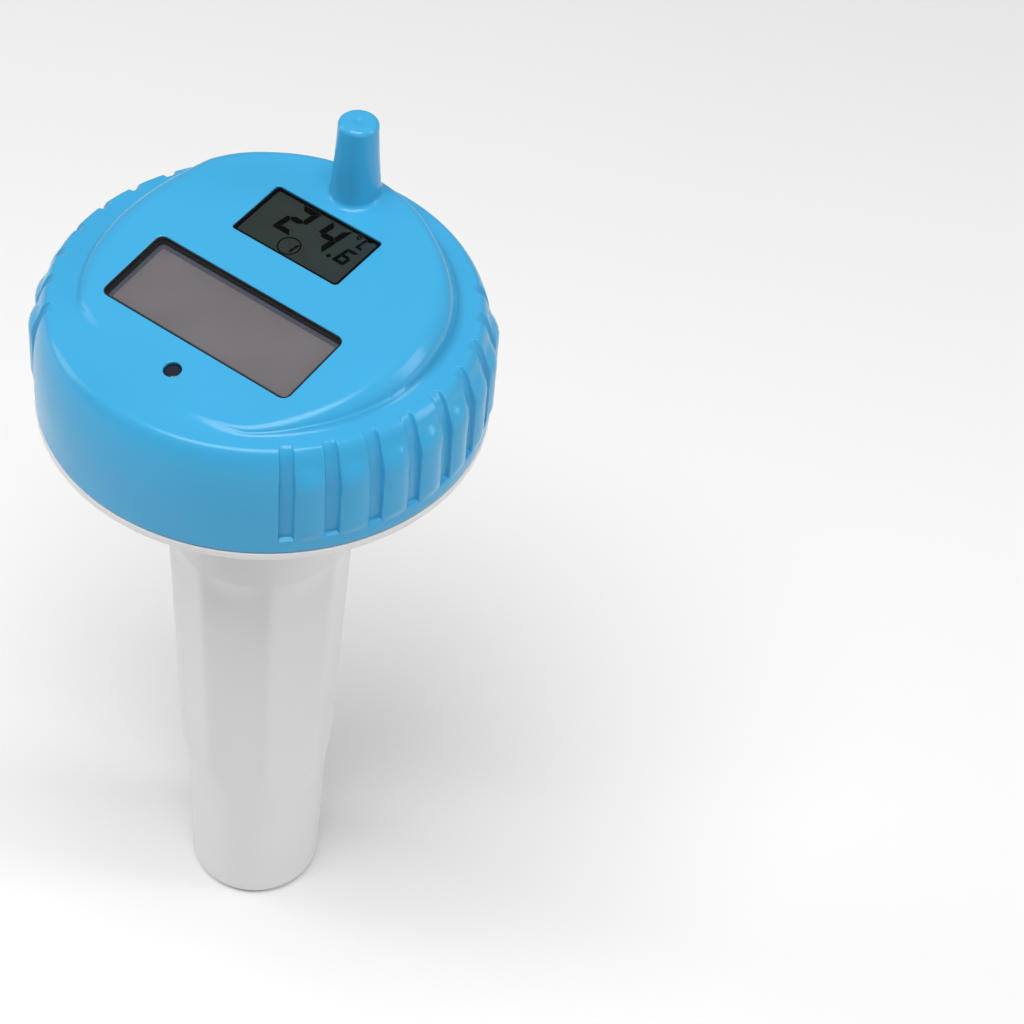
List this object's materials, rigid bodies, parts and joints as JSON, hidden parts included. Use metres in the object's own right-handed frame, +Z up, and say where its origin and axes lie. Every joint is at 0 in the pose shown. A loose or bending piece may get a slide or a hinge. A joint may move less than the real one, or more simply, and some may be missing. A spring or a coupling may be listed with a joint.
{
  "type": "floating pool thermometer",
  "caption": "Mushroom-shaped float with a white weighted tube and a blue screw cap that carries a solar cell, a small display and an aerial post.",
  "frame": {"origin": "centre of the tube's flat foot, at the bottom of the object", "axes": "+Z up along the tube and the cap's turning axis, +Y towards the aerial post (up the sloping face), +X along the long edges of both windows, to the right when the display is read"},
  "size_m": [0.108, 0.1064, 0.2367],
  "materials": {
    "hull_white": "smooth white ABS",
    "ballast_iron": "dull cast ring",
    "seal_rubber": "grey silicone",
    "cap_blue": "smooth blue ABS with a fine moulded gloss",
    "clear_pane": "clear acrylic",
    "black_rubber": "black foam rubber",
    "solar_silicon": "brown-grey amorphous cell under matte resin",
    "red_wire": "PVC insulation",
    "lcd_glass": "dark display glass",
    "frame_plastic": "plain moulded",
    "zebra_rubber": "striped conductive rubber",
    "dark_lens": "smoked plastic",
    "led_epoxy": "tinted epoxy",
    "board_green": "solder mask",
    "chip_black": "moulded epoxy",
    "shield_tin": "tinned steel",
    "antenna_copper": "bright copper wire",
    "key_orange": "moulded key",
    "key_white": "moulded key",
    "screw_steel": "zinc plated",
    "tray_plastic": "plain moulded",
    "cell_label": "printed sleeve, no lettering",
    "contact_nickel": "nickel plated spring steel",
    "stem_white": "plain moulded tube",
    "probe_steel": "drawn stainless cup",
    "white_wire": "PVC insulation"
  },
  "bodies": {
    "float_hull": {"hull": "hull_white", "ballast": "ballast_iron"},
    "seal": {"lid_gasket": "seal_rubber"},
    "cap": {"top_cap": "cap_blue", "solar_window": "clear_pane", "solar_gasket": "black_rubber", "solar_cell": "solar_silicon", "solar_leads": "red_wire", "lcd_window": "clear_pane", "lcd_gasket": "black_rubber", "lcd_panel": "lcd_glass", "lcd_frame": "frame_plastic", "zebra_strips": "zebra_rubber", "led_lens": "dark_lens", "status_led": "led_epoxy", "main_board": "board_green", "control_chip": "chip_black", "rf_module": "shield_tin", "antenna": "antenna_copper", "tact_switches": "chip_black", "slide_switch": "shield_tin", "board_screws": "screw_steel", "battery_tray": "tray_plastic", "cell_a": "cell_label", "cell_b": "cell_label", "contact_plate": "contact_nickel", "contact_spring": "contact_nickel", "series_contact": "contact_nickel", "battery_leads": "red_wire", "tray_screws": "screw_steel", "sensor_stem": "stem_white", "probe_tip": "probe_steel", "thermistor": "chip_black", "sensor_leads": "white_wire"},
    "unit_key": {"unit_button": "key_orange"},
    "reset_key": {"reset_button": "key_white"},
    "channel_key": {"channel_slider": "chip_black"}
  },
  "joints": [
    {"name": "cap_rise", "type": "slide", "parent": "float_hull", "child": "seal", "axis": [0, 0, 1], "range_m": [0, 0.00301]},
    {"name": "cap_twist", "type": "hinge", "parent": "seal", "child": "cap", "pos_m": [0, 0, 0.176], "axis": [0, 0, 1], "range_deg": [0, 90]},
    {"name": "unit_press", "type": "slide", "parent": "cap", "child": "unit_key", "axis": [0, -0.0993, 0.9951], "range_m": [0, 0.0005], "stiffness_N_per_m": 400},
    {"name": "reset_press", "type": "slide", "parent": "cap", "child": "reset_key", "axis": [0, -0.0993, 0.9951], "range_m": [0, 0.0005], "stiffness_N_per_m": 400},
    {"name": "channel_slide", "type": "slide", "parent": "cap", "child": "channel_key", "axis": [1, 0, 0], "range_m": [0, 0.004]}
  ],
  "couplings": [
    {"joint": "cap_rise", "follows": "cap_twist", "m_per_rad": 0.0019099}
  ]
}
